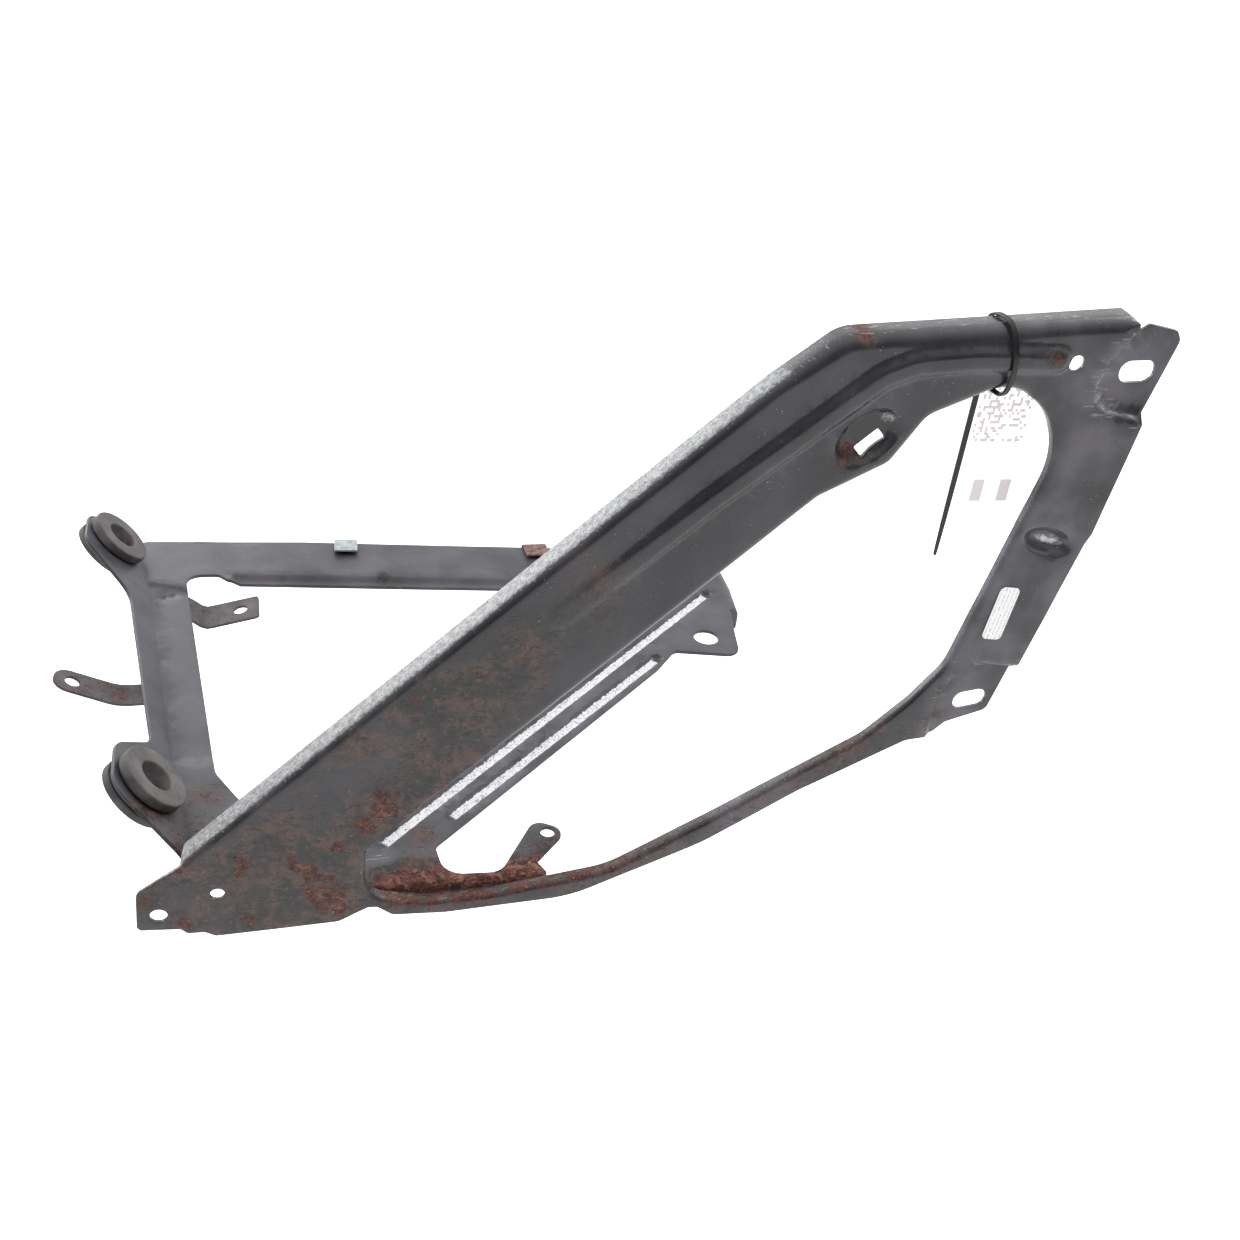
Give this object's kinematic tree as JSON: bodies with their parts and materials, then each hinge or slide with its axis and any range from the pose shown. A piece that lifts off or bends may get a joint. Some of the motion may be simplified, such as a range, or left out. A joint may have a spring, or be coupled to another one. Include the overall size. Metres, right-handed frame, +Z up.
{
  "type": "spare tire carrier",
  "caption": "Pressed-steel carrier bracket: an upright flanged ring panel welded to a level triangular frame, with rubber mounts, hose tabs, clip nuts and a tied hang tag.",
  "frame": {"origin": "A point on the rear face of the upper right slotted pad of the upright ring panel, just above its slot.", "axes": "+X runs to the right along the upright ring panel, +Y runs back from the ring panel towards the far rail of the level frame, +Z is up, against gravity."},
  "size_m": [0.4496, 0.3125, 0.2856],
  "materials": {
    "ring_panel": "worn semi-gloss black paint over pressed steel, rust at the lower left",
    "rear_frame": "dusty worn black paint over pressed steel, rust on the floor",
    "post_clip_tab": "worn black paint over bent steel strip",
    "left_hose_tab": "worn black paint over bent steel strip, light rust",
    "upper_grommet": "dusty black rubber",
    "lower_grommet": "dusty black rubber",
    "zinc_clip_nut": "dull zinc plating",
    "rusty_clip_nut": "zinc plating gone to brown rust",
    "cable_tie": "smooth black nylon",
    "hang_tag": null,
    "label_sticker": null
  },
  "bodies": {
    "bracket": {"ring_panel": "ring_panel", "rear_frame": "rear_frame", "post_clip_tab": "post_clip_tab", "left_hose_tab": "left_hose_tab", "upper_grommet": "upper_grommet", "lower_grommet": "lower_grommet", "zinc_clip_nut": "zinc_clip_nut", "rusty_clip_nut": "rusty_clip_nut", "cable_tie": "cable_tie", "label_sticker": "label_sticker"},
    "tag": {"hang_tag": "hang_tag"}
  },
  "joints": [
    {"name": "tag_swing", "type": "hinge", "parent": "bracket", "child": "tag", "pos_m": [-0.0616, 0.0096, -0.0176], "axis": [1, 0, 0], "range_deg": [-2, 40]}
  ]
}
